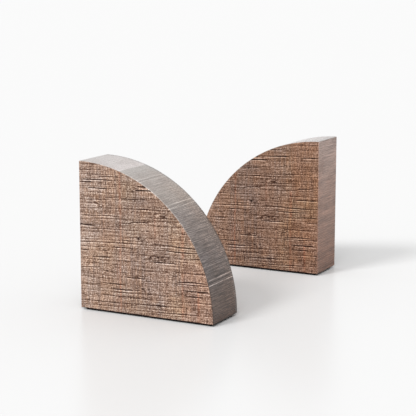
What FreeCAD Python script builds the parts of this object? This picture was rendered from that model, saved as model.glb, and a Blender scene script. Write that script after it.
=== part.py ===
import FreeCAD, Part
import Sketcher
import math
import os

# Pair of quarter-round wooden book ends, each a sawn block on a thin black
# non-slip pad.  Millimetres, +Z up, +X along the row of books, +Y away from
# the front book end.  The origin is on the table under the middle of the pair.
#
# Each book end has an upright flat face for the books and a quarter-circle
# back that runs from the top of that face down to the foot.  The rear one is
# the same piece turned half a turn about +Z, so its flat face looks the other
# way.  The two are loose from each other.

doc = FreeCAD.newDocument("BookEnds")

# ------------------------------------------------------------------ dimensions
sheet = doc.addObject("Spreadsheet::Sheet", "Dimensions")
rows = [
    ("BlockRadius", 146.0),      # height of the flat face = length of the foot
    ("BlockDepth", 51.0),        # thickness of the sawn board
    ("BlockArris", 0.4),         # break on every edge of the block
    ("PadThickness", 2.0),       # sheet rubber
    ("PadInset", 3.0),           # pad set in from the edge of the block, all round
    ("PadCornerRadius", 3.0),    # die-cut corner
    ("PairOffsetX", 5.0),        # rear flat face beyond the front one's foot
    ("PairPitchY", 238.6),       # centre to centre, front to rear
]
for number, (alias, value) in enumerate(rows, start=1):
    sheet.set("A%d" % number, alias)
    sheet.set("B%d" % number, repr(value))
    sheet.setAlias("B%d" % number, alias)
doc.recompute()


def origin_plane(body, role):
    for feature in body.Origin.OriginFeatures:
        if feature.Role == role:
            return feature
    raise RuntimeError("no origin plane " + role)


def bind(obj, prop, expression):
    obj.setExpression(prop, expression)


def new_sketch(body, name, role):
    sketch = body.newObject("Sketcher::SketchObject", name)
    sketch.AttachmentSupport = [(origin_plane(body, role), "")]
    sketch.MapMode = "FlatFace"
    return sketch


def symmetric(pad):
    # extrude to both sides of the sketch plane
    if hasattr(pad, "SideType"):
        pad.SideType = "Symmetric"
    else:
        pad.Midplane = True


def make_block(label):
    """Quarter round: foot along +X, flat face in the YZ plane, arc between."""
    body = doc.addObject("PartDesign::Body", label)
    body.Label = label
    sketch = new_sketch(body, label + "_profile", "XZ_Plane")
    radius = 146.0
    centre = FreeCAD.Vector(0, 0, 0)
    foot = sketch.addGeometry(Part.LineSegment(centre, FreeCAD.Vector(radius, 0, 0)), False)
    circle = Part.Circle(centre, FreeCAD.Vector(0, 0, 1), radius)
    arc = sketch.addGeometry(Part.ArcOfCircle(circle, 0.0, math.pi / 2), False)
    back = sketch.addGeometry(Part.LineSegment(FreeCAD.Vector(0, radius, 0), centre), False)
    sketch.addConstraint(Sketcher.Constraint("Coincident", foot, 1, -1, 1))
    sketch.addConstraint(Sketcher.Constraint("Coincident", arc, 3, -1, 1))
    sketch.addConstraint(Sketcher.Constraint("Coincident", foot, 2, arc, 1))
    sketch.addConstraint(Sketcher.Constraint("Coincident", arc, 2, back, 1))
    sketch.addConstraint(Sketcher.Constraint("Coincident", back, 2, foot, 1))
    sketch.addConstraint(Sketcher.Constraint("Horizontal", foot))
    sketch.addConstraint(Sketcher.Constraint("Vertical", back))
    index = sketch.addConstraint(Sketcher.Constraint("Radius", arc, radius))
    sketch.renameConstraint(index, "ArcRadius")
    bind(sketch, "Constraints.ArcRadius", "Dimensions.BlockRadius")
    doc.recompute()

    board = body.newObject("PartDesign::Pad", label + "_board")
    board.Profile = sketch
    board.Length = 51.0
    symmetric(board)
    bind(board, "Length", "Dimensions.BlockDepth")
    doc.recompute()

    arris = body.newObject("PartDesign::Chamfer", label + "_arris")
    arris.Base = (board, ["Edge%d" % n for n in range(1, len(board.Shape.Edges) + 1)])
    arris.Size = 0.4
    bind(arris, "Size", "Dimensions.BlockArris")
    doc.recompute()
    body.Tip = arris
    return body


def make_pad(label):
    """Die-cut rubber pad, its corner near the flat face at (inset, -half)."""
    body = doc.addObject("PartDesign::Body", label)
    body.Label = label
    sketch = new_sketch(body, label + "_outline", "XY_Plane")
    inset, corner = 3.0, 3.0
    x0, x1 = inset, 146.0 - inset
    y0, y1 = -51.0 / 2 + inset, 51.0 / 2 - inset
    V = FreeCAD.Vector
    lines = [
        (V(x0 + corner, y0, 0), V(x1 - corner, y0, 0)),
        (V(x1, y0 + corner, 0), V(x1, y1 - corner, 0)),
        (V(x1 - corner, y1, 0), V(x0 + corner, y1, 0)),
        (V(x0, y1 - corner, 0), V(x0, y0 + corner, 0)),
    ]
    arcs = [
        (V(x1 - corner, y0 + corner, 0), -math.pi / 2, 0.0),
        (V(x1 - corner, y1 - corner, 0), 0.0, math.pi / 2),
        (V(x0 + corner, y1 - corner, 0), math.pi / 2, math.pi),
        (V(x0 + corner, y0 + corner, 0), math.pi, 3 * math.pi / 2),
    ]
    line_ids = [sketch.addGeometry(Part.LineSegment(a, b), False) for a, b in lines]
    arc_ids = []
    for centre, start, end in arcs:
        circle = Part.Circle(centre, V(0, 0, 1), corner)
        arc_ids.append(sketch.addGeometry(Part.ArcOfCircle(circle, start, end), False))
    for n in range(4):
        sketch.addConstraint(Sketcher.Constraint("Tangent", line_ids[n], 2, arc_ids[n], 1))
        sketch.addConstraint(Sketcher.Constraint("Tangent", arc_ids[n], 2, line_ids[(n + 1) % 4], 1))
    for n in (0, 2):
        sketch.addConstraint(Sketcher.Constraint("Horizontal", line_ids[n]))
    for n in (1, 3):
        sketch.addConstraint(Sketcher.Constraint("Vertical", line_ids[n]))
    for n in (1, 2, 3):
        sketch.addConstraint(Sketcher.Constraint("Equal", arc_ids[0], arc_ids[n]))

    def dimension(name, constraint, expression):
        index = sketch.addConstraint(constraint)
        sketch.renameConstraint(index, name)
        bind(sketch, "Constraints." + name, expression)

    dimension("CornerRadius", Sketcher.Constraint("Radius", arc_ids[0], corner),
              "Dimensions.PadCornerRadius")
    dimension("NearEnd", Sketcher.Constraint("DistanceX", -1, 1, line_ids[3], 1, x0),
              "Dimensions.PadInset")
    dimension("OverallLength", Sketcher.Constraint("DistanceX", line_ids[3], 1, line_ids[1], 1, x1 - x0),
              "Dimensions.BlockRadius - 2 * Dimensions.PadInset")
    dimension("HalfWidth", Sketcher.Constraint("DistanceY", line_ids[0], 1, -1, 1, -y0),
              "Dimensions.BlockDepth / 2 - Dimensions.PadInset")
    dimension("OverallWidth", Sketcher.Constraint("DistanceY", line_ids[0], 1, line_ids[2], 1, y1 - y0),
              "Dimensions.BlockDepth - 2 * Dimensions.PadInset")
    doc.recompute()

    rubber = body.newObject("PartDesign::Pad", label + "_rubber")
    rubber.Profile = sketch
    rubber.Length = 2.0
    bind(rubber, "Length", "Dimensions.PadThickness")
    doc.recompute()
    body.Tip = rubber
    return body


# -------------------------------------------------------------------- book ends
blocks_and_pads = []
for side in ("front", "rear"):
    block = make_block(side + "_block")
    pad = make_pad(side + "_base_pad")
    blocks_and_pads.append((side, block, pad))

half_row = "(Dimensions.BlockRadius + Dimensions.PairOffsetX) / 2"
for side, block, pad in blocks_and_pads:
    if side == "front":
        turn = FreeCAD.Rotation(FreeCAD.Vector(0, 0, 1), 0)
        x_expression, y_expression = "-" + half_row, "-Dimensions.PairPitchY / 2"
    else:
        turn = FreeCAD.Rotation(FreeCAD.Vector(0, 0, 1), 180)
        x_expression, y_expression = half_row, "Dimensions.PairPitchY / 2"
    for body in (block, pad):
        body.Placement = FreeCAD.Placement(FreeCAD.Vector(0, 0, 0), turn)
        bind(body, "Placement.Base.x", x_expression)
        bind(body, "Placement.Base.y", y_expression)
    # the block stands on its pad
    bind(block, "Placement.Base.z", "Dimensions.PadThickness")

doc.recompute()

# ----------------------------------------------------------------------- checks
for obj in doc.Objects:
    state = [str(word) for word in obj.State]
    if "Invalid" in state or "Error" in state:
        raise RuntimeError("%s failed: %s" % (obj.Name, state))

radius = float(sheet.BlockRadius)
depth = float(sheet.BlockDepth)
quarter = math.pi * radius ** 2 / 4 * depth
nodes = [body for _, block, pad in blocks_and_pads for body in (block, pad)]
for body in nodes:
    shape = body.Shape
    if shape.isNull() or not shape.isValid() or len(shape.Solids) != 1:
        raise RuntimeError(body.Label + " has no single valid solid")
    if body.Label.endswith("_block"):
        if not (0.995 * quarter < shape.Volume < quarter):
            raise RuntimeError(body.Label + " has the wrong volume")

os.makedirs("parts", exist_ok=True)
for body in nodes:
    box = body.Shape.BoundBox
    print("%-16s %9.1f mm3  x %.2f..%.2f  y %.2f..%.2f  z %.2f..%.2f" % (
        body.Label, body.Shape.Volume, box.XMin, box.XMax, box.YMin, box.YMax, box.ZMin, box.ZMax))
    body.Shape.exportStep("parts/%s.step" % body.Label)
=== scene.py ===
import math

import bmesh
import bpy
import numpy as np
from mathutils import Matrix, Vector


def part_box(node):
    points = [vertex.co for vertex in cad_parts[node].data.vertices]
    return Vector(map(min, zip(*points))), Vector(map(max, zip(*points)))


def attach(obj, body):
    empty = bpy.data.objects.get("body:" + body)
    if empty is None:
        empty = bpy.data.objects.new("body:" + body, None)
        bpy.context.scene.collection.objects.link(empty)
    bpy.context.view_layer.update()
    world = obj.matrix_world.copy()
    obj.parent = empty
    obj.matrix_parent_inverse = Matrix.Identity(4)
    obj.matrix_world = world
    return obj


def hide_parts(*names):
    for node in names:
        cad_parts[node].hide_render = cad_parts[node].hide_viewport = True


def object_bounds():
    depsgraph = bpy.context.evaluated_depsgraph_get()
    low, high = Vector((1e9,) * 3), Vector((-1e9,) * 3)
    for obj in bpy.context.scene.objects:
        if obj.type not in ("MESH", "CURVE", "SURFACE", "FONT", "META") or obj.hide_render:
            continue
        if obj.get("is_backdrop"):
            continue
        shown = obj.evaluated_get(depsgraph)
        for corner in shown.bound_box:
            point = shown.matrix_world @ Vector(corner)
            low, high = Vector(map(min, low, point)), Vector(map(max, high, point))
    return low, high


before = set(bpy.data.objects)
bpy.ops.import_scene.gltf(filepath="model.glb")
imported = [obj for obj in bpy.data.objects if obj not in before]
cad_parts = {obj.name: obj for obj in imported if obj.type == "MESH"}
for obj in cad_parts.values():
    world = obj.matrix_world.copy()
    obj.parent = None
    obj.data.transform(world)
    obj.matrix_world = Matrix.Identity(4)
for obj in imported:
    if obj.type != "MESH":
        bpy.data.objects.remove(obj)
cad_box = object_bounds()


def plain(value):
    try:
        return float(value)
    except TypeError:
        return [plain(v) for v in value]


scene = bpy.context.scene

# ------------------------------------------------------------------- seeded noise
def lattice(ix, iy, seed):
    n = (ix.astype(np.int64) * 374761393 + iy.astype(np.int64) * 668265263
         + int(seed) * 2147483647) & 0xFFFFFFFF
    n = ((n ^ (n >> 13)) * 1274126177) & 0xFFFFFFFF
    n = ((n ^ (n >> 16)) * 2246822519) & 0xFFFFFFFF
    n = n ^ (n >> 15)
    return (n & 0xFFFFFF) / float(0xFFFFFF)


def vnoise(x, y, seed):
    """Smooth value noise, 0..1, one cell per unit."""
    x0, y0 = np.floor(x), np.floor(y)
    fx, fy = x - x0, y - y0
    fx = fx * fx * (3 - 2 * fx)
    fy = fy * fy * (3 - 2 * fy)
    a = lattice(x0, y0, seed)
    b = lattice(x0 + 1, y0, seed)
    c = lattice(x0, y0 + 1, seed)
    d = lattice(x0 + 1, y0 + 1, seed)
    return (a * (1 - fx) + b * fx) * (1 - fy) + (c * (1 - fx) + d * fx) * fy


def smooth(lo, hi, t):
    t = np.clip((t - lo) / (hi - lo), 0, 1)
    return t * t * (3 - 2 * t)


# ------------------------------------------------------- saw marks on a big face
# Gouges the band saw tore across the face: height below the top, start and end
# from the left edge, strength.  Millimetres.
GOUGES = [
    (13.5, 22, 45, 0.55), (17.6, 0, 47, 0.75), (20.3, 0, 15, 0.8), (20.5, 65, 77, 0.7),
    (25.2, 10, 32, 1.0), (24.6, 63, 83, 1.0), (33.4, 47, 78, 0.75), (29.2, 8, 30, 0.4),
    (12.2, 88, 104, 0.6), (19.3, 80, 112, 0.8), (19.0, 127, 146, 0.9), (24.3, 63, 86, 0.8),
    (42.0, 70, 78, 0.6), (52.0, 0, 46, 0.55), (55.2, 57, 77, 1.0), (57.0, 44, 60, 0.5),
    (53.5, 122, 146, 0.9), (62.5, 0, 16, 0.8), (65.8, 120, 146, 0.9), (62.0, 30, 52, 0.35),
    (74.6, 80, 108, 0.85), (79.8, 105, 132, 0.8), (81.2, 36, 55, 0.45), (84.4, 123, 146, 0.8),
    (87.6, 0, 10, 0.7), (91.7, 78, 110, 1.0), (92.9, 13, 36, 0.75), (93.6, 36, 74, 0.4),
    (90.2, 133, 146, 0.7), (99.0, 0, 50, 0.3), (108.0, 108, 141, 0.85), (110.0, 52, 74, 0.7),
    (115.6, 114, 143, 1.0), (118.1, 29, 50, 0.8), (120.8, 114, 135, 0.7), (122.9, 37, 60, 0.65),
    (129.6, 20, 80, 0.35), (133.5, 5, 10, 0.6), (138.0, 40, 110, 0.3), (141.0, 0, 30, 0.3),
    (7.5, 4, 26, 0.45), (104.0, 0, 24, 0.55), (101.5, 60, 84, 0.4), (70.5, 24, 70, 0.4),
]
# Clusters of torn fibre: height below the top, middle, half width, half height
TEARS = [
    (41.0, 22, 8, 2.6), (70.8, 67, 6, 1.9), (86.0, 28, 5, 1.6), (102.5, 105, 7, 1.8),
    (106.2, 31, 7, 2.0), (109.5, 63, 12, 2.2), (133.8, 87, 8, 2.4), (66.0, 100, 9, 1.4),
    (24.0, 60, 5, 2.4), (120.0, 70, 10, 1.8), (88.0, 86, 12, 2.2), (47.0, 92, 7, 2.0),
]


def random_gouges(seed, count):
    rng = np.random.default_rng(seed)
    rows = []
    for n in range(count):
        y = 3 + 140 * (n + rng.uniform(0.1, 0.9)) / count
        length = rng.uniform(12, 42)
        start = rng.uniform(-8, 146 - 0.6 * length)
        rows.append((y, start, start + length, rng.uniform(0.3, 1.0)))
    return rows


def random_tears(seed, count):
    rng = np.random.default_rng(seed)
    return [(rng.uniform(6, 140), rng.uniform(6, 140), rng.uniform(4, 11), rng.uniform(1.3, 2.6))
            for _ in range(count)]


# Reddish upright seams of the grain: distance from the left edge, half width,
# from and to below the top, strength
SEAMS = [
    (45.6, 0.8, -10, 156, 0.85), (114.0, 1.1, 58, 84, 1.0), (113.2, 0.9, 100, 156, 0.75),
    (130.4, 1.0, 117, 156, 0.95), (41.6, 0.7, 96, 156, 0.55), (84.0, 0.7, 48, 72, 0.5),
    (70.0, 0.7, 4, 30, 0.3), (27.0, 0.7, 38, 82, 0.3), (96.5, 0.7, 88, 122, 0.35), (121.5, 1.2, 58, 70, 0.4),
]
RISE = 0.035        # the saw marks climb to the right
# Broad changes of hue: distance from the left edge, depth below the top, half
# width, half height, amount (tan and orange above zero, weathered grey below)
FRONT_TINTS = [
    (85, 104, 15, 34, -0.75), (60, 96, 12, 17, -0.45), (108, 62, 10, 18, 0.7), (108, 132, 13, 12, 0.7),
    (128, 80, 12, 13, 0.75), (27, 90, 15, 15, 0.45), (78, 36, 14, 8, -0.45), (30, 62, 14, 7, -0.3),
    (52, 26, 9, 12, 0.5), (16, 12, 14, 8, -0.3), (60, 60, 9, 10, 0.35), (66, 138, 12, 7, 0.4),
    (38, 122, 12, 9, 0.4), (118, 108, 16, 6, -0.4),
]
REAR_TINTS = [
    (128, 52, 24, 54, 0.8), (112, 120, 15, 34, 0.65), (70, 84, 20, 40, -0.5), (84, 36, 13, 12, -0.3),
    (38, 80, 14, 18, -0.2), (130, 70, 16, 9, 0.6), (60, 128, 16, 12, -0.2), (132, 128, 10, 12, 0.5),
]


def sawn_face(u, w, seed, gouges, tears, tints):
    """Depth below the board's face (mm), darkness, lightness and redness of the
    marks (0..1), and the broad hue (-1 grey to 1 tan).

    u runs along the foot from the block's left edge, w is the height."""
    depth = np.zeros_like(u)
    dark = np.zeros_like(u)
    light = np.zeros_like(u)
    red = np.zeros_like(u)
    top = 146.0 - w
    # the blade wandered a little as the board went past it
    wander = 1.3 * (vnoise(u / 44, top / 26, seed + 1) - 0.5) + 0.4 * (vnoise(u / 14, top / 7, seed + 2) - 0.5)
    lay = top + wander + RISE * u

    # fine ripple of single teeth
    ripple = 0.5 + 0.5 * np.cos(2 * math.pi * (lay / 1.95 + 0.5 * vnoise(u / 40, top / 9, seed + 3)))
    ripple *= 0.3 + 0.7 * smooth(0.3, 0.75, vnoise(u / 24, top / 4.2, seed + 4))
    depth += 0.07 * ripple
    dark += 0.09 * ripple ** 2

    # one scratch after another, in broken lengths
    for k, (pitch, reach, amount, low) in enumerate(
            [(2.3, 22, 0.55, 0.45), (3.4, 36, 0.8, 0.43), (5.9, 54, 1.0, 0.36)]):
        row = np.floor(lay / pitch)
        offset = lattice(row, row * 0 + k, seed + 20 + k)
        centre = (row + 0.25 + 0.5 * offset) * pitch
        along = vnoise((u + 61 * offset) / reach, row * 7.3, seed + 30 + k)
        ragged = 0.6 + 0.6 * vnoise(u / 4.5, row * 3.7, seed + 36 + k)
        strength = smooth(low, 0.82, along) * amount * ragged
        off = lay - centre
        width = 0.30 + 0.14 * lattice(row, row * 0 + 9, seed + 40 + k)
        groove = np.exp(-(off / width) ** 2) * strength
        ridge = np.exp(-((off - 0.92) / 0.36) ** 2) * strength
        depth += 0.32 * groove - 0.05 * ridge
        # the groove's darkness is darker torn wood with painted shade, and the pale ridge under it is a painted
        # highlight
        dark += 0.68 * groove
        light += 0.84 * ridge

    # deep gouges
    for n, (y, a, b, s) in enumerate(gouges):
        t = (u - a) / (b - a)
        bow = 0.45 * (vnoise(u / 8.5, 0 * u + n, seed + 50) - 0.5) + 0.8 * (vnoise(u / 26, 0 * u + n, seed + 51) - 0.5)
        off = top - y - bow + RISE * (u - 0.5 * (a + b))
        ends = smooth(-0.08, 0.15, t) * (1 - smooth(0.80, 1.06, t))
        ragged = 0.6 + 0.55 * vnoise(u / 4.0, 0 * u + n, seed + 52)
        width = (0.29 + 0.13 * s) * (0.75 + 0.5 * vnoise(u / 7.0, 0 * u + n, seed + 53))
        groove = np.exp(-(off / width) ** 2) * ends * ragged * s
        ridge = np.exp(-((off - 1.08) / 0.42) ** 2) * ends * ragged * s
        above = np.exp(-((off + 1.2) / 0.6) ** 2) * ends * ragged * s
        depth += 0.55 * groove - 0.06 * ridge
        # painted shade in the gouge with its darker wood; painted highlights on the ridge below it and on the lip above
        # it
        dark += 1.75 * groove
        light += 1.5 * ridge + 0.3 * above

    # torn fibre
    for n, (y, x, half_w, half_h) in enumerate(tears):
        spot = np.exp(-((u - x) / half_w) ** 2 - ((top - y) / half_h) ** 2)
        grit = vnoise(u / 2.2, top / 0.8, seed + 60 + n)
        depth += 0.30 * spot * smooth(0.5, 0.9, grit)
        dark += 0.95 * spot * smooth(0.52, 0.82, grit)
        light += 0.80 * spot * smooth(0.52, 0.85, 1 - grit)

    # pores and short nicks all over
    grit = vnoise(u / 4.2, lay / 0.85, seed + 90)
    patch = 0.4 + 0.6 * vnoise(u / 17, top / 8, seed + 91)
    dark += 0.26 * patch * smooth(0.66, 0.95, grit)
    light += 0.26 * patch * smooth(0.66, 0.95, 1 - grit)
    depth += 0.09 * patch * smooth(0.6, 0.95, grit)

    # seams of the grain
    for n, (at, half, y0, y1, s) in enumerate(SEAMS):
        line = at + 1.4 * (vnoise(top / 33, 0 * u + n, seed + 95) - 0.5)
        red += s * np.exp(-((u - line) / half) ** 2) * smooth(y0 - 5, y0 + 3, top) * (1 - smooth(y1 - 3, y1 + 5, top)) \
            * (0.45 + 0.75 * vnoise(top / 6.5, 0 * u + n, seed + 96))
    red += 0.24 * smooth(112, 117, u) * (1 - smooth(62, 68, top) * (1 - smooth(84, 90, top)))
    # broad hue, broken up along the grain
    hue = np.zeros_like(u)
    for n, (x, y, half_w, half_h, amount) in enumerate(tints):
        du = np.abs(u - x + 3.0 * (vnoise(top / 21, 0 * u + n, seed + 98) - 0.5)) / half_w
        hue += amount * np.exp(-du ** 4 - (np.abs(top - y) / half_h) ** 4)
    hue *= 0.55 + 0.75 * vnoise(u / 5.5, top / 16, seed + 99)
    return (np.clip(depth, 0, 0.85), np.clip(dark, 0, 1.4), np.clip(light, 0, 1.1), np.clip(red, 0, 1),
            np.clip(hue, -1, 1))


# ------------------------------------------------ cross lines on the curved back
# arc length from the top edge (mm), strength, bright or dark; the bright lines are painted highlights on the saw marks
ARC_LINES = [
    (45.4, 0.28, 1), (66.8, 0.75, 1), (70.6, 0.55, 1), (106.0, 0.65, 1), (110.2, 0.6, 1), (68.7, 0.40, 0),
    (108.0, 0.50, 0), (112.6, 0.3, 0), (166.0, 0.45, 1), (174.6, 0.6, 1), (188.0, 1.35, 1), (192.7, 1.9, 1),
    (190.3, 0.75, 0), (194.9, 0.5, 0), (186.0, 0.5, 0), (170.5, 0.4, 0), (147.0, 0.35, 0), (158.0, 0.4, 0),
    (203.0, 0.35, 0), (129.0, 0.2, 1), (86.0, 0.2, 1), (17.0, 0.14, 0), (213.0, 0.3, 0), (177.0, 0.5, 0),
]


def curved_back(s, v, seed):
    """s: arc length from the top edge, v: across the width from the front edge."""
    depth = np.zeros_like(s)
    dark = np.zeros_like(s)
    light = np.zeros_like(s)
    lay = s + 0.9 * (vnoise(v / 22, s / 31, seed) - 0.5)
    busy = 0.20 + 0.80 * smooth(0.25, 0.8, vnoise(s / 21, v / 26, seed + 1)) * smooth(40, 170, s)
    for k, pitch in enumerate([1.3, 2.1, 3.9]):
        row = np.floor(lay / pitch)
        offset = lattice(row, row * 0 + k, seed + 3 + k)
        off = lay - (row + 0.3 + 0.4 * offset) * pitch
        strength = smooth(0.45, 0.9, vnoise((v + 40 * offset) / 17, row * 5.1, seed + 8 + k)) * busy
        groove = np.exp(-(off / 0.36) ** 2) * strength
        depth += 0.05 * groove
        if k == 1:
            light += 0.34 * groove
        else:
            dark += 0.38 * groove
    for n, (at, amount, bright) in enumerate(ARC_LINES):
        bow = 0.5 * (vnoise(v / 14, 0 * v + n, seed + 15) - 0.5)
        broken = 0.65 + 0.5 * vnoise(v / 6, 0 * v + n, seed + 16)
        line = np.exp(-((s - at - bow) / 0.36) ** 2) * 1.12 * amount * broken
        if bright:
            light += line
        else:
            dark += line
        depth += 0.06 * line
    # the arris catches the light
    light += 0.55 * (v < 0.4) * smooth(40, 70, s) * (1 - smooth(140, 165, s)) * (0.6 + 0.6 * vnoise(s / 4, 0 * s, seed + 17))
    dark += 0.5 * (v < 0.4) * smooth(150, 175, s)
    return np.clip(depth, 0, 0.3), np.clip(dark, 0, 1), np.clip(light, 0, 2.1), 0 * s, 0 * s


def flat_face(v, w, seed):
    """Planed book face: v across, w height."""
    depth = np.zeros_like(v)
    dark = np.zeros_like(v)
    light = np.zeros_like(v)
    lay = w + 0.7 * (vnoise(v / 19, w / 25, seed) - 0.5)
    for k, pitch in enumerate([1.7, 3.3]):
        row = np.floor(lay / pitch)
        offset = lattice(row, row * 0 + k, seed + 3 + k)
        off = lay - (row + 0.3 + 0.4 * offset) * pitch
        strength = smooth(0.45, 0.9, vnoise((v + 40 * offset) / 15, row * 5.1, seed + 8 + k))
        groove = np.exp(-(off / 0.36) ** 2) * strength
        depth += 0.045 * groove
        dark += 0.42 * groove
        light += 0.3 * np.exp(-((off - 0.8) / 0.4) ** 2) * strength
    # the front arris catches the light
    light += 1.1 * (v < 0.4) * (0.7 + 0.5 * vnoise(w / 5, 0 * w, seed + 17))
    return np.clip(depth, 0, 0.3), np.clip(dark, 0, 1), np.clip(light, 0, 1.5), 0 * v, 0 * v


# --------------------------------------------------------------------- the blocks
def make_block(name, body, node, flat_at_left, seeds, front_marks, back_marks, materials):
    low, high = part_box(node)
    low = [1000 * c for c in low]
    high = [1000 * c for c in high]
    R = high[2] - low[2]
    D = high[1] - low[1]
    c = 0.35                       # arris
    n_front, n_back, n_arc, n_flat = 118, 58, 12, 10

    # rows: no more than 0.42 mm apart in height and 0.62 mm along the curve
    phi = [0.0]
    while phi[-1] < math.pi / 2:
        step = min(0.42 / max(math.cos(phi[-1]), 1e-3), 0.62) / R
        phi.append(phi[-1] + step)
    last = math.acos(1.0 / R)
    phi = [p for p in phi if p < last - 0.3 / R] + [last]
    phi = np.array(phi)

    # heights of the rows: faces run from the bottom arris to the top one
    h_face = c + (R - 2 * c) * np.sin(phi)
    u_face = (R - c) * np.cos(phi)
    h_arc = c + (R - c) * np.sin(phi)
    u_arc = R * np.cos(phi)

    rows = len(phi)
    tf = np.append(np.linspace(0, 1 - 0.6 / R, n_front), 1.0)
    tb = np.linspace(1, 0, n_back + 1)
    ta = np.append([0.0], np.linspace(0.9 / D, 1, n_arc))
    tl = np.concatenate([[1.0], np.linspace(1 - 0.8 / D, 0.8 / D, n_flat - 1), [0.0]])

    # every row is a ring: front face, curve, back face, flat face
    def side(u, w, front):
        """seen from outside, distance from the left edge of that face"""
        left = u if (flat_at_left == front) else R - u
        return left, w

    U, V, W, dark, light, red, hue = [], [], [], [], [], [], []

    # front
    u = c + (u_face[:, None] - c) * tf[None, :]
    w = np.repeat(h_face[:, None], n_front + 1, 1)
    d, dk, lt, rd, hu = sawn_face(*side(u, w, True), seeds[0], *front_marks)
    fade = smooth(0, 1.5, np.minimum(u, u_face[:, None] + c - u))
    d = d * (0.45 + 0.55 * fade)
    U.append(u); V.append(d); W.append(w); dark.append(dk); light.append(lt); red.append(rd); hue.append(hu)
    # curve
    v = np.repeat(c + (D - 2 * c) * ta[None, :], rows, 0)
    s = np.repeat(((math.pi / 2 - phi) * R)[:, None], n_arc + 1, 1)
    d, dk, lt, rd, hu = curved_back(s, v, seeds[1])
    U.append(u_arc[:, None] - d * np.cos(phi)[:, None])
    V.append(v)
    W.append(h_arc[:, None] - d * np.sin(phi)[:, None])
    dark.append(dk); light.append(lt); red.append(rd); hue.append(hu)
    # back
    u = c + (u_face[:, None] - c) * tb[None, :]
    w = np.repeat(h_face[:, None], n_back + 1, 1)
    d, dk, lt, rd, hu = sawn_face(*side(u, w, False), seeds[2], *back_marks)
    fade = smooth(0, 1.5, np.minimum(u, u_face[:, None] + c - u))
    d = d * (0.45 + 0.55 * fade)
    U.append(u); V.append(D - d); W.append(w); dark.append(dk); light.append(lt); red.append(rd); hue.append(hu)
    # flat face
    v = np.repeat(c + (D - 2 * c) * tl[None, :], rows, 0)
    w = np.repeat(h_face[:, None], n_flat + 1, 1)
    d, dk, lt, rd, hu = flat_face(v, w, seeds[3])
    U.append(d); V.append(v); W.append(w); dark.append(dk); light.append(lt); red.append(rd); hue.append(hu)

    sizes = [a.shape[1] for a in U]
    U, V, W = (np.concatenate(a, 1) for a in (U, V, W))
    dark, light, red, hue = (np.concatenate(a, 1) for a in (dark, light, red, hue))
    ring = U.shape[1]
    start = np.cumsum([0] + sizes)

    # the ring under the bottom arris
    bu, bv = U[0].copy(), V[0].copy()
    bv[start[0]:start[1]] = c
    bu[start[1]:start[2]] = R - c
    bv[start[2]:start[3]] = D - c
    bu[start[3]:start[4]] = c
    U = np.vstack([bu[None], U]); V = np.vstack([bv[None], V]); W = np.vstack([0 * bu[None], W])
    dark, light, red, hue = (np.vstack([a[:1], a]) for a in (dark, light, red, hue))
    rows += 1
    # painted shade: the foot's arris is darkened to stand for the shadow gap under the block
    dark[:2] = 1.4
    light[:2] = 0

    x = low[0] + U if flat_at_left else high[0] - U
    verts = np.stack([x, low[1] + V, low[2] + W], -1).reshape(-1, 3) / 1000.0

    faces, slots, sharp = [], [], []
    for j in range(rows - 1):
        for i in range(ring):
            k = (i + 1) % ring
            corner = i + 1 in (start[1], start[2], start[3], start[4])
            faces.append((j * ring + i, j * ring + k, (j + 1) * ring + k, (j + 1) * ring + i))
            part = int(np.searchsorted(start, i, side="right")) - 1
            if k in (start[1], start[2]):
                part = 1           # the curve's own arrises
            slots.append((0, 1, 0, 2)[part])
            sharp.append(corner or j == 0)
    # cap on the top edge, from the flat face's top to the start of the curve
    top = (rows - 1) * ring
    arc_ids = [top + start[1] + i for i in range(sizes[1])]
    flat_ids = [top + start[3] + i for i in range(sizes[3])][::-1]
    strip = []
    # the curve has more points than the flat face: join them with a fan
    a = b = 0
    while a < len(arc_ids) - 1 or b < len(flat_ids) - 1:
        fa = (a + 1) / (len(arc_ids) - 1) if a < len(arc_ids) - 1 else 9
        fb = (b + 1) / (len(flat_ids) - 1) if b < len(flat_ids) - 1 else 9
        if fa <= fb:
            strip.append((arc_ids[a], arc_ids[a + 1], flat_ids[b])); a += 1
        else:
            strip.append((arc_ids[a], flat_ids[b + 1], flat_ids[b])); b += 1
    for f in strip:
        faces.append(f); slots.append(1); sharp.append(False)
    front_ids = [top + start[0] + i for i in range(sizes[0])]
    back_ids = [top + start[2] + i for i in range(sizes[2])]
    faces.append(tuple(front_ids + [arc_ids[0], flat_ids[0]])); slots.append(1); sharp.append(True)
    faces.append(tuple(back_ids + [flat_ids[-1], arc_ids[-1]])); slots.append(1); sharp.append(True)
    # underside
    faces.append(tuple(range(ring))[::-1]); slots.append(2); sharp.append(True)

    if not flat_at_left:
        faces = [f[::-1] for f in faces]

    mesh = bpy.data.meshes.new(name)
    mesh.from_pydata([tuple(p) for p in verts.tolist()], [], faces)
    mesh.update()
    for mat in materials:
        mesh.materials.append(mat)
    mesh.polygons.foreach_set("material_index", slots)
    mesh.polygons.foreach_set("use_smooth", [not s for s in sharp])
    for label, values in (("dark_marks_and_shade", dark), ("pale_marks_and_highlight", light), ("sawred", red), ("sawhue", hue)):
        layer = mesh.attributes.new(label, "FLOAT", "POINT")
        layer.data.foreach_set("value", values.reshape(-1).astype(np.float32))
    bm = bmesh.new()
    bm.from_mesh(mesh)
    bmesh.ops.recalc_face_normals(bm, faces=bm.faces)
    if bm.calc_volume(signed=True) < 0:
        bmesh.ops.reverse_faces(bm, faces=bm.faces)
    bm.to_mesh(mesh)
    bm.free()
    obj = bpy.data.objects.new(name, mesh)
    scene.collection.objects.link(obj)
    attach(obj, body)
    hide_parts(node)
    return obj


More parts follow.
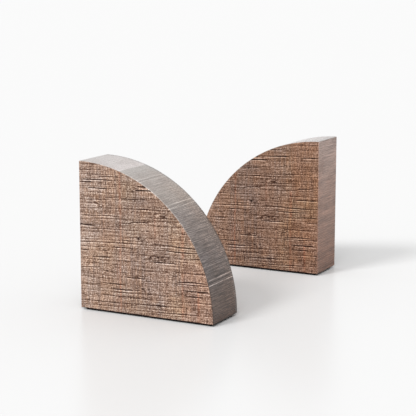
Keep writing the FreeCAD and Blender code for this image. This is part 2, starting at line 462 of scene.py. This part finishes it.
# -------------------------------------------------------------------- materials
class Nodes:
    def __init__(self, name):
        self.mat = bpy.data.materials.new(name)
        self.mat.use_nodes = True
        self.tree = self.mat.node_tree
        self.tree.nodes.clear()
        self.out = self.add("ShaderNodeOutputMaterial")
        self.bsdf = self.add("ShaderNodeBsdfPrincipled")
        self.link(self.bsdf.outputs[0], self.out.inputs["Surface"])

    def add(self, kind, **props):
        node = self.tree.nodes.new(kind)
        for key, value in props.items():
            setattr(node, key, value)
        return node

    def link(self, a, b):
        self.tree.links.new(a, b)

    def value(self, socket, v):
        if isinstance(v, (int, float)):
            socket.default_value = v
        elif isinstance(v, tuple):
            socket.default_value = v
        else:
            self.link(v, socket)

    def math(self, op, a, b=0.0, clamp=False):
        node = self.add("ShaderNodeMath", operation=op, use_clamp=clamp)
        self.value(node.inputs[0], a)
        self.value(node.inputs[1], b)
        return node.outputs[0]

    def noise(self, vec, scale, detail=2.0, rough=0.5, distortion=0.0, dims="3D"):
        node = self.add("ShaderNodeTexNoise", noise_dimensions=dims)
        self.link(vec, node.inputs["Vector"])
        node.inputs["Scale"].default_value = scale
        node.inputs["Detail"].default_value = detail
        node.inputs["Roughness"].default_value = rough
        node.inputs["Distortion"].default_value = distortion
        return node.outputs["Fac"]

    def scaled(self, vec, sx, sy, sz):
        node = self.add("ShaderNodeVectorMath", operation="MULTIPLY")
        self.link(vec, node.inputs[0])
        node.inputs[1].default_value = (sx, sy, sz)
        return node.outputs[0]

    def scale(self, colour, gains):
        node = self.add("ShaderNodeVectorMath", operation="MULTIPLY")
        self.link(colour, node.inputs[0])
        node.inputs[1].default_value = gains
        return node.outputs[0]

    def ramp(self, fac, lo, hi):
        node = self.add("ShaderNodeMapRange", interpolation_type="SMOOTHSTEP")
        self.value(node.inputs["Value"], fac)
        node.inputs["From Min"].default_value = lo
        node.inputs["From Max"].default_value = hi
        return node.outputs["Result"]

    def mix(self, fac, a, b, blend="MIX"):
        node = self.add("ShaderNodeMix", data_type="RGBA", blend_type=blend, clamp_factor=True)
        self.value(node.inputs[0], fac)
        for socket, colour in ((node.inputs[6], a), (node.inputs[7], b)):
            if isinstance(colour, tuple):
                socket.default_value = tuple(colour) + (1.0,)
            else:
                self.link(colour, socket)
        return node.outputs[2]

    def attribute(self, name):
        return self.add("ShaderNodeAttribute", attribute_name=name).outputs["Fac"]

    def millimetres(self, offset=(0.0, 0.0, 0.0)):
        """Object coordinates in millimetres, moved by offset (mm)."""
        coords = self.add("ShaderNodeTexCoord").outputs["Object"]
        node = self.add("ShaderNodeVectorMath", operation="MULTIPLY_ADD")
        self.link(coords, node.inputs[0])
        node.inputs[1].default_value = (1000.0, 1000.0, 1000.0)
        node.inputs[2].default_value = tuple(-o for o in offset)
        return node.outputs[0]

    def bump(self, height, strength, distance, normal=None):
        node = self.add("ShaderNodeBump")
        node.inputs["Strength"].default_value = strength
        node.inputs["Distance"].default_value = distance
        self.link(height, node.inputs["Height"])
        if normal is not None:
            self.link(normal, node.inputs["Normal"])
        return node.outputs["Normal"]


def sawn_wood(name, offset, tone, orange, brown, greyish, gloss, lift):
    """Rough-sawn face: upright fibres crossed by the marks in the mesh."""
    n = Nodes(name)
    p = n.millimetres(offset)
    split = n.add("ShaderNodeSeparateXYZ")
    n.link(p, split.inputs[0])
    across = n.math("SUBTRACT", split.outputs["X"], front_low[0])
    height = n.math("SUBTRACT", split.outputs["Z"], front_low[2])
    # coordinates that lie along the climbing saw marks
    sway = n.noise(n.scaled(p, 0.030, 0.030, 0.040), 1.0, 1.0, 0.5)
    climb = n.math("SUBTRACT", split.outputs["Z"], n.math("MULTIPLY", split.outputs["X"], RISE))
    climb = n.math("ADD", climb, n.math("MULTIPLY", sway, 6.0))
    join = n.add("ShaderNodeCombineXYZ")
    n.link(split.outputs["X"], join.inputs["X"])
    n.link(split.outputs["Y"], join.inputs["Y"])
    n.link(climb, join.inputs["Z"])
    q = join.outputs[0]

    fibre = n.noise(n.scaled(p, 0.55, 0.55, 0.022), 1.0, 2.0, 0.6)
    thread = n.noise(n.scaled(p, 1.25, 1.25, 0.13), 1.0, 1.0, 0.5)
    board = n.noise(n.scaled(p, 0.055, 0.02, 0.008), 1.0, 2.0, 0.5)
    blotch = n.noise(n.scaled(p, 0.035, 0.035, 0.06), 1.0, 3.0, 0.55)
    grit = n.noise(n.scaled(q, 0.78, 0.78, 0.90), 1.0, 2.0, 0.85)
    teeth = n.noise(n.scaled(q, 0.045, 0.045, 1.05), 1.0, 2.0, 0.65)
    short = n.noise(n.scaled(q, 0.17, 0.17, 1.45), 1.0, 1.0, 0.5)
    speck = n.noise(n.scaled(q, 0.6, 0.6, 1.2), 1.0, 2.0, 0.6)

    # hue: tan and orange-brown wood, grey-pink weathered patches, reddish seams
    base = n.mix(n.ramp(fibre, 0.38, 0.62), brown, orange)
    base = n.mix(n.math("MULTIPLY", n.ramp(blotch, 0.36, 0.64), 0.60), base, greyish)
    base = n.mix(n.math("MULTIPLY", n.ramp(board, 0.50, 0.66), 0.50), base, orange)
    hue = n.attribute("sawhue")
    tan = n.scale(base, (1.03, 0.985, 0.86))
    grey = n.scale(base, (0.95, 1.015, 1.12))
    base = n.mix(n.math("MULTIPLY", hue, 1.0, True), base, tan)
    base = n.mix(n.math("MULTIPLY", hue, -1.0, True), base, grey)
    seam = n.attribute("sawred")
    base = n.mix(n.math("MULTIPLY", seam, 0.95), base, tuple(c * k for c, k in zip(orange, (0.92, 0.66, 0.58))))

    # pale marks with painted highlights, and dark marks with painted shade
    light = n.math("MULTIPLY", n.attribute("pale_marks_and_highlight"), n.ramp(speck, 0.20, 0.52), clamp=True)
    dark = n.math("MULTIPLY", n.attribute("dark_marks_and_shade"), n.math("ADD", 0.62, n.ramp(speck, 0.30, 0.60)))
    total = n.math("ADD", tone, n.math("MULTIPLY", n.math("SUBTRACT", fibre, 0.5), 0.75))
    for wave, amount in ((thread, 2.3), (grit, 6.7), (teeth, 1.4), (short, 1.1), (blotch, 0.1)):
        total = n.math("ADD", total, n.math("MULTIPLY", n.math("SUBTRACT", wave, 0.5), amount))
    total = n.math("SUBTRACT", total, n.math("MULTIPLY", n.math("MULTIPLY", hue, -1.0, True), 0.11))
    total = n.math("SUBTRACT", total, n.math("MULTIPLY", dark, 1.9))
    # paler towards the left edge, and towards the top
    near = n.math("DIVIDE", across, lift[1])
    near = n.math("EXPONENT", n.math("MULTIPLY", n.math("MULTIPLY", near, near), -1.0))
    total = n.math("ADD", total, n.math("MULTIPLY", near, lift[0]))
    total = n.math("ADD", total, n.math("MULTIPLY", n.math("SUBTRACT", n.math("DIVIDE", height, 146.0), 0.5), lift[2]))
    # the pale side is softer than the dark one
    total = n.math("MINIMUM", total, n.math("MULTIPLY", total, 0.66))
    total = n.math("ADD", total, n.math("MULTIPLY", light, lift[3]))
    total = n.math("MAXIMUM", n.math("MINIMUM", total, 0.95), -2.8)
    # dark marks are warm, light ones pale
    gain = n.add("ShaderNodeCombineXYZ")
    for axis, power in (("X", 0.97), ("Y", 1.18), ("Z", 1.34)):
        n.link(n.math("EXPONENT", n.math("MULTIPLY", total, power)), gain.inputs[axis])
    grow = n.add("ShaderNodeVectorMath", operation="MULTIPLY")
    n.link(base, grow.inputs[0])
    n.link(gain.outputs[0], grow.inputs[1])
    n.link(grow.outputs[0], n.bsdf.inputs["Base Color"])
    rough = n.add("ShaderNodeMapRange")
    n.link(fibre, rough.inputs["Value"])
    rough.inputs["To Min"].default_value = 0.62
    rough.inputs["To Max"].default_value = 0.82
    n.link(rough.outputs["Result"], n.bsdf.inputs["Roughness"])
    n.bsdf.inputs["Specular IOR Level"].default_value = gloss
    relief = n.math("ADD", n.math("MULTIPLY", fibre, 0.4), n.math("MULTIPLY", thread, 0.3))
    relief = n.math("ADD", relief, n.math("MULTIPLY", grit, 0.9))
    relief = n.math("ADD", relief, n.math("MULTIPLY", teeth, 0.8))
    n.link(n.bump(relief, 0.6, 0.0004), n.bsdf.inputs["Normal"])
    return n.mat


def worked_wood(name, offset, curved, axis_x, edge_y, tone):
    """Smoothed and waxed wood: the curved back and the flat book face."""
    n = Nodes(name)
    p = n.millimetres(offset)
    split = n.add("ShaderNodeSeparateXYZ")
    n.link(p, split.inputs[0])
    radius = front_high[2] - front_low[2]
    if curved:
        # unroll the curve: arc length from the top edge and distance across
        run = n.math("MULTIPLY", n.math("SUBTRACT", split.outputs["X"], axis_x[0]), axis_x[1])
        rise = n.math("MAXIMUM", n.math("SUBTRACT", split.outputs["Z"], front_low[2]), 0.001)
        along = n.math("MULTIPLY", n.math("ARCTAN2", run, rise), radius)
    else:
        along = n.math("SUBTRACT", front_high[2], split.outputs["Z"])
    join = n.add("ShaderNodeCombineXYZ")
    n.link(along, join.inputs["X"])
    n.link(split.outputs["Y"], join.inputs["Y"])
    s = join.outputs[0]
    lines = n.noise(n.scaled(s, 1.15, 0.030, 1.0), 1.0, 2.0, 0.70, dims="2D")
    broad = n.noise(n.scaled(s, 0.13, 0.02, 1.0), 1.0, 2.0, 0.5, dims="2D")
    cloud = n.noise(n.scaled(s, 0.05, 0.06, 1.0), 1.0, 2.0, 0.5, dims="2D")
    fine = n.noise(n.scaled(s, 1.9, 0.14, 1.0), 1.0, 2.0, 0.6, dims="2D")
    grit = n.noise(n.scaled(s, 1.3, 0.7, 1.0), 1.0, 2.0, 0.7, dims="2D")
    # the far side of the curve stays warmer and rougher than the near side
    far = n.math("DIVIDE", n.math("SUBTRACT", split.outputs["Y"], edge_y), 51.0)
    far = n.math("MULTIPLY", n.ramp(far, 0.05, 1.15), n.ramp(along, 45.0, 125.0))
    stops, warm = tone
    reach = 0.5 * math.pi * radius if curved else radius
    ramp = n.add("ShaderNodeValToRGB")
    n.link(n.math("DIVIDE", along, reach), ramp.inputs[0])
    while len(ramp.color_ramp.elements) < len(stops):
        ramp.color_ramp.elements.new(0.5)
    for element, (at, colour) in zip(ramp.color_ramp.elements, stops):
        element.position = at / reach
    for element, (at, colour) in zip(ramp.color_ramp.elements, stops):
        element.color = tuple(colour) + (1.0,)
    base = n.mix(n.math("MULTIPLY", n.ramp(cloud, 0.42, 0.70), 0.15 if curved else 0.30), ramp.outputs["Color"], warm)
    busy = n.ramp(along, 40.0, 180.0) if curved else None
    total = n.math("MULTIPLY", n.math("SUBTRACT", lines, 0.5), 2.0 if curved else 1.5)
    for wave, amount in ((broad, 0.2 if curved else 0.9), (fine, 1.5 if curved else 0.9)):
        total = n.math("ADD", total, n.math("MULTIPLY", n.math("SUBTRACT", wave, 0.5), amount))
    if curved:
        total = n.math("MULTIPLY", total, n.math("ADD", 0.30, n.math("MULTIPLY", busy, 1.0)))
        base = n.mix(n.math("MULTIPLY", far, 0.50), base, n.scale(base, (1.16, 1.0, 0.86)))
        # painted highlights along the bright lines and the arris, tinted cooler and greyer
        streak = n.math("MULTIPLY", n.attribute("pale_marks_and_highlight"), 0.55, clamp=True)
        base = n.mix(streak, base, n.scale(base, (0.93, 1.04, 1.10)))
        total = n.math("SUBTRACT", total, n.math("MULTIPLY", far, n.math("ADD", 0.04, n.math("MULTIPLY", n.ramp(along, 212.0, 226.0), 0.30))))
        speck = n.math("ADD", 1.4, n.math("MULTIPLY", far, 2.8))
        total = n.math("ADD", total, n.math("MULTIPLY", n.math("SUBTRACT", grit, 0.5), speck))
    else:
        total = n.math("ADD", total, n.math("MULTIPLY", n.math("SUBTRACT", grit, 0.5), 1.3))
    # painted highlights and painted shade from the marks in the mesh, with the marks' own pale and dark wood
    total = n.math("ADD", total, n.math("MULTIPLY", n.attribute("pale_marks_and_highlight"), 1.0 if curved else 0.35))
    total = n.math("SUBTRACT", total, n.math("MULTIPLY", n.attribute("dark_marks_and_shade"), 0.75 if curved else 0.4))
    grow = n.add("ShaderNodeVectorMath", operation="SCALE")
    n.link(base, grow.inputs[0])
    n.link(n.math("EXPONENT", n.math("MINIMUM", total, 2.0)), grow.inputs["Scale"])
    n.link(grow.outputs[0], n.bsdf.inputs["Base Color"])
    rough = n.add("ShaderNodeMapRange")
    n.link(lines, rough.inputs["Value"])
    rough.inputs["To Min"].default_value = 0.20
    rough.inputs["To Max"].default_value = 0.34
    n.link(rough.outputs["Result"], n.bsdf.inputs["Roughness"])
    n.bsdf.inputs["Specular IOR Level"].default_value = 0.18
    height = n.math("ADD", lines, n.math("MULTIPLY", fine, 0.5))
    n.link(n.bump(height, 0.30, 0.00012), n.bsdf.inputs["Normal"])
    return n.mat


def rubber(name):
    n = Nodes(name)
    p = n.millimetres()
    cloud = n.noise(n.scaled(p, 0.12, 0.12, 0.12), 1.0, 3.0, 0.5)
    grain = n.noise(n.scaled(p, 3.5, 3.5, 3.5), 1.0, 2.0, 0.6)
    base = n.mix(n.ramp(cloud, 0.35, 0.7), (0.006, 0.006, 0.0063), (0.012, 0.0119, 0.0118))
    base = n.mix(n.math("MULTIPLY", n.ramp(grain, 0.55, 0.8), 0.4), base, (0.022, 0.0217, 0.0215))
    n.link(base, n.bsdf.inputs["Base Color"])
    n.bsdf.inputs["Roughness"].default_value = 0.72
    n.bsdf.inputs["Specular IOR Level"].default_value = 0.10
    n.link(n.bump(grain, 0.4, 0.0002), n.bsdf.inputs["Normal"])
    return n.mat


# colour of the worked faces from their top to their foot, and of the warmer streaks; the pale grey tops are painted
# sheen and the darkening towards the feet is painted shade
CURVE_COLOUR_SHEEN_AND_SHADE = (((0, (0.280, 0.258, 0.248)), (15, (0.330, 0.302, 0.293)), (30, (0.352, 0.324, 0.314)),
               (44.5, (0.385, 0.351, 0.342)), (47.5, (0.271, 0.250, 0.235)), (60, (0.255, 0.231, 0.215)),
               (75, (0.250, 0.221, 0.204)), (90, (0.242, 0.212, 0.193)), (104, (0.219, 0.191, 0.174)),
               (118, (0.179, 0.153, 0.142)), (132, (0.156, 0.132, 0.122)), (148, (0.139, 0.114, 0.104)),
               (165, (0.122, 0.101, 0.095)), (180, (0.100, 0.082, 0.076)), (195, (0.087, 0.066, 0.058)),
               (207, (0.085, 0.060, 0.049)), (218, (0.080, 0.054, 0.044)), (229, (0.063, 0.038, 0.029))),
              (0.15, 0.1, 0.076))
FLAT_COLOUR_SHEEN_AND_SHADE = (((0.0, (0.294, 0.211, 0.180)), (70.0, (0.216, 0.127, 0.094)), (140.0, (0.156, 0.078, 0.051))),
             (0.211, 0.112, 0.079))

front_low, front_high = [[1000 * c for c in v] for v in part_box("front_block")]
rear_low, rear_high = [[1000 * c for c in v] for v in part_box("rear_block")]
shift = (rear_low[0] - front_low[0], rear_low[1] - front_low[1], 0.0)

wood_front = sawn_wood("sawn_wood_front", (0.0, 0.0, 0.0), -0.035, (0.248, 0.152, 0.103), (0.204, 0.132, 0.098),
                       (0.217, 0.158, 0.129), 0.20, (0.15, 34.0, 0.02, 0.80))
# the rear block's sawn wood is painted darker than the front block's, and darker still towards its foot: painted shade
# on the same wood
wood_rear_shaded = sawn_wood("sawn_wood_rear", shift, -0.060, (0.193, 0.104, 0.064), (0.155, 0.091, 0.062),
                      (0.165, 0.109, 0.085), 0.15, (0.30, 34.0, 0.23, 1.10))
curve_front = worked_wood("curved_back_front", (0.0, 0.0, 0.0), True, (front_low[0], 1.0), front_low[1], CURVE_COLOUR_SHEEN_AND_SHADE)
curve_rear = worked_wood("curved_back_rear", (0.0, 37.0, 0.0), True, (rear_high[0], -1.0), rear_low[1] - 37.0,
                         CURVE_COLOUR_SHEEN_AND_SHADE)
flat_front = worked_wood("book_face_front", (0.0, 11.0, 0.0), False, None, 0.0, FLAT_COLOUR_SHEEN_AND_SHADE)
flat_rear = worked_wood("book_face_rear", (0.0, 71.0, 0.0), False, None, 0.0, FLAT_COLOUR_SHEEN_AND_SHADE)

front_marks = (GOUGES, TEARS, FRONT_TINTS)
rear_marks = (GOUGES, TEARS, REAR_TINTS)
make_block("front_block_wood", "front_bookend", "front_block", True, (11, 23, 57, 71),
           front_marks, (random_gouges(5, 40), random_tears(6, 12), REAR_TINTS), (wood_front, curve_front, flat_front))
make_block("rear_block_wood", "rear_bookend", "rear_block", False, (11, 29, 91, 83),
           rear_marks, (random_gouges(7, 40), random_tears(8, 12), FRONT_TINTS), (wood_rear_shaded, curve_rear, flat_rear))

pad_material = rubber("base_pad_rubber")
for node in ("front_base_pad", "rear_base_pad"):
    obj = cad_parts[node]
    obj.data.materials.clear()
    obj.data.materials.append(pad_material)

# ------------------------------------------------------------------------ stage
def make_floor():
    mesh = bpy.data.meshes.new("studio_floor")
    half = 60.0
    mesh.from_pydata([(-half, -half, 0), (half, -half, 0), (half, half, 0), (-half, half, 0)], [], [(0, 1, 2, 3)])
    obj = bpy.data.objects.new("studio_floor", mesh)
    scene.collection.objects.link(obj)
    mat = bpy.data.materials.new("studio_floor")
    mat.use_nodes = True
    tree = mat.node_tree
    tree.nodes.clear()
    out = tree.nodes.new("ShaderNodeOutputMaterial")
    mix = tree.nodes.new("ShaderNodeMixShader")
    diffuse = tree.nodes.new("ShaderNodeBsdfDiffuse")
    gloss = tree.nodes.new("ShaderNodeBsdfGlossy")
    diffuse.inputs["Color"].default_value = (FLOOR, FLOOR, FLOOR, 1)
    gloss.inputs["Color"].default_value = (1, 1, 1, 1)
    gloss.inputs["Roughness"].default_value = 0.25
    mix.inputs[0].default_value = MIRROR
    tree.links.new(diffuse.outputs[0], mix.inputs[1])
    tree.links.new(gloss.outputs[0], mix.inputs[2])
    tree.links.new(mix.outputs[0], out.inputs["Surface"])
    mesh.materials.append(mat)
    obj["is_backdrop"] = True
    return obj


WHITE = 0.956
MIRROR = 0.135
# elevation, heading of travel from +X, width of the source, light on a white floor
LAMPS = {"key": (40.0, 66.0, 18.0, 0.257), "fill": (55.0, 110.0, 34.0, 0.183)}
FLOOR = (WHITE - sum(lamp[3] for lamp in LAMPS.values())) / WHITE
make_floor()

world = bpy.data.worlds.new("studio")
world.use_nodes = True
background = world.node_tree.nodes.get("Background") or world.node_tree.nodes.new("ShaderNodeBackground")
background.inputs[0].default_value = (1, 1, 1, 1)
background.inputs[1].default_value = WHITE
scene.world = world

for label, (elevation, heading, width, share) in LAMPS.items():
    elevation, heading = math.radians(elevation), math.radians(heading)
    travel = Vector((math.cos(elevation) * math.cos(heading), math.cos(elevation) * math.sin(heading),
                     -math.sin(elevation)))
    sun = bpy.data.lights.new(label, "SUN")
    sun.energy = share / FLOOR * math.pi / math.sin(elevation)
    sun.angle = math.radians(width)
    lamp = bpy.data.objects.new(label, sun)
    lamp.rotation_euler = travel.to_track_quat("-Z", "Y").to_euler()
    lamp.location = tuple(-2.0 * travel)
    scene.collection.objects.link(lamp)

# ----------------------------------------------------------------------- camera
cam = bpy.data.cameras.new("camera")
cam.sensor_width = 36.0
cam.lens = 112.592
cam.clip_end = 200.0
camera = bpy.data.objects.new("camera", cam)
camera.location = (0.60888, -1.19194, 0.32606)
camera.rotation_euler = (math.radians(79.7677), 0.0, math.radians(27.4393))
scene.collection.objects.link(camera)
scene.camera = camera

scene.view_settings.view_transform = "Standard"
scene.view_settings.look = "None"

{"cad": plain(cad_box), "visual": plain(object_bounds())}
